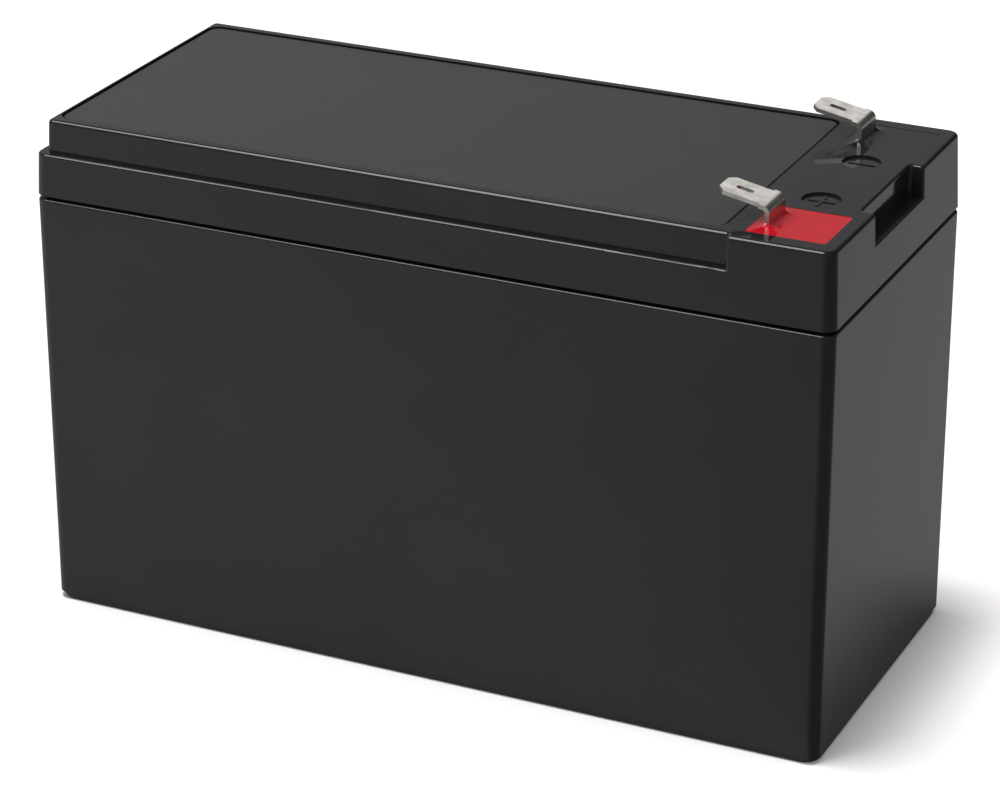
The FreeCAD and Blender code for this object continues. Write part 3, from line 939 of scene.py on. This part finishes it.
def plateTree():
    tree, given = nodeGroup("castPlates", {
        "Corner": "Vector",
        "Length": "Float",
        "Height": "Float",
        "Thickness": "Float",
        "Pitch": "Float",
        "Count": "Int",
        "Bar": "Float",
        "Frame bar": "Float",
        "Bars across": "Int",
        "Bars up": "Int",
        "Paste thickness": "Float",
        "Lug size": "Vector",
        "Lug middle": "Vector",
        "Lead": "Material",
        "Paste": "Material",
    })
    length, height, thickness = given["Length"], given["Height"], given["Thickness"]
    middleX = calculate(tree, "MULTIPLY", length, 0.5)
    middleY = calculate(tree, "MULTIPLY", thickness, 0.5)
    middleZ = calculate(tree, "MULTIPLY", height, 0.5)

    def block(x, y, z, at):
        cube = addNode(tree, "GeometryNodeMeshCube", {"Size": vector(tree, x, y, z)})
        return addNode(
            tree, "GeometryNodeTransform", {"Geometry": cube.outputs["Mesh"], "Translation": at}
        ).outputs[0]

    def repeated(shape, count, offset):
        line = addNode(tree, "GeometryNodeMeshLine", {"Count": count, "Offset": offset})
        copies = {"Points": line.outputs[0], "Instance": shape}
        return addNode(tree, "GeometryNodeInstanceOnPoints", copies).outputs[0]

    parts = []
    # the inner bars both ways, then the heavier frame, which is two bars each way
    stepX = calculate(tree, "DIVIDE", length, calculate(tree, "ADD", given["Bars across"], 1.0))
    stepZ = calculate(tree, "DIVIDE", height, calculate(tree, "ADD", given["Bars up"], 1.0))
    upright = block(given["Bar"], thickness, height, vector(tree, stepX, middleY, middleZ))
    level = block(length, thickness, given["Bar"], vector(tree, middleX, middleY, stepZ))
    parts.append(repeated(upright, given["Bars across"], vector(tree, x=stepX)))
    parts.append(repeated(level, given["Bars up"], vector(tree, z=stepZ)))
    halfFrame = calculate(tree, "MULTIPLY", given["Frame bar"], 0.5)
    sideMiddle = vector(tree, halfFrame, middleY, middleZ)
    crossMiddle = vector(tree, middleX, middleY, halfFrame)
    sideBar = block(given["Frame bar"], thickness, height, sideMiddle)
    crossBar = block(length, thickness, given["Frame bar"], crossMiddle)
    farX = calculate(tree, "SUBTRACT", length, given["Frame bar"])
    farZ = calculate(tree, "SUBTRACT", height, given["Frame bar"])
    parts.append(repeated(sideBar, 2, vector(tree, x=farX)))
    parts.append(repeated(crossBar, 2, vector(tree, z=farZ)))
    lug = addNode(tree, "GeometryNodeMeshCube", {"Size": given["Lug size"]})
    parts.append(addNode(
        tree,
        "GeometryNodeTransform",
        {"Geometry": lug.outputs["Mesh"], "Translation": given["Lug middle"]},
    ).outputs[0])
    pasted = block(farX, given["Paste thickness"], farZ, vector(tree, middleX, middleY, middleZ))
    parts.append(addNode(
        tree,
        "GeometryNodeStoreNamedAttribute",
        {"Geometry": pasted, "Name": "isPaste", "Value": True},
        data_type="BOOLEAN",
        domain="FACE",
    ).outputs[0])
    plate = addNode(tree, "GeometryNodeJoinGeometry")
    for part in parts:
        tree.links.new(part, plate.inputs[0])
    row = repeated(plate.outputs[0], given["Count"], vector(tree, y=given["Pitch"]))
    placed = addNode(
        tree, "GeometryNodeTransform", {"Geometry": row, "Translation": given["Corner"]}
    )
    real = addNode(tree, "GeometryNodeRealizeInstances", {"Geometry": placed.outputs[0]})
    lead = addNode(
        tree, "GeometryNodeSetMaterial", {"Geometry": real.outputs[0], "Material": given["Lead"]}
    )
    isPaste = addNode(
        tree, "GeometryNodeInputNamedAttribute", {"Name": "isPaste"}, data_type="BOOLEAN"
    )
    paste = addNode(
        tree,
        "GeometryNodeSetMaterial",
        {
            "Geometry": lead.outputs[0],
            "Selection": isPaste.outputs[0],
            "Material": given["Paste"],
        },
    )
    addNode(tree, "NodeGroupOutput", {"Geometry": paste.outputs[0]})
    return tree


def makePlates(tree, number, polarity):
    node = "cell_" + str(number) + "_" + polarity + "_plates"
    name = "cell" + str(number) + polarity.capitalize() + "Plates"
    low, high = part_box(node)
    kind = plates[polarity]
    corners = [vertex.co for vertex in nodes[node].data.vertices]
    hair = 0.01 * mm
    lugX = [corner.x for corner in corners if corner.z > high.z - hair]
    lugLow, lugHigh = min(lugX), max(lugX)
    shoulder = max(
        corner.z for corner in corners if corner.x < lugLow - hair or corner.x > lugHigh + hair
    )
    piece = linkPiece(bpy.data.meshes.new(name), name)
    grow(piece, tree, {
        "Corner": tuple(low),
        "Length": high.x - low.x,
        "Height": shoulder - low.z,
        "Thickness": kind["thickness"],
        "Pitch": (high.y - low.y - kind["thickness"]) / (kind["count"] - 1),
        "Count": kind["count"],
        "Bar": castGrid["bar"],
        "Frame bar": castGrid["frameBar"],
        "Bars across": castGrid["barsAcross"],
        "Bars up": castGrid["barsUp"],
        "Paste thickness": kind["thickness"] * castGrid["pasteShare"],
        "Lug size": (lugHigh - lugLow, kind["thickness"], high.z - shoulder),
        "Lug middle": (
            (lugLow + lugHigh) / 2 - low.x,
            kind["thickness"] / 2,
            (shoulder + high.z) / 2 - low.z,
        ),
        "Lead": castLead,
        "Paste": kind["paste"],
    })
    standFor(piece, node)


platesTree = plateTree()
for number in cellNumbers:
    for polarity in plates:
        makePlates(platesTree, number, polarity)
print("plate packs made")

castings = {
    "pole": {"material": castLead, "slot": "lead", "sharp": 40},
    "o_ring": {"material": nitrileRubber, "slot": "rubber", "sharp": 60},
}
for side in ("positive", "negative"):
    for kind, look in castings.items():
        node = side + "_" + kind
        name = side + kind.replace("_", " ").title().replace(" ", "")
        piece = linkPiece(mergedMesh(node, name), name, look["material"])
        evenShading(piece, look["sharp"])
        standFor(piece, node)

carriedOver = {"_strap": castLead, "_separators": glassMat, "intercell_weld": castLead}
for node, piece in nodes.items():
    for kind, material in carriedOver.items():
        if kind in node:
            for slot in piece.material_slots:
                slot.material = material
print("straps, welds and separators finished")
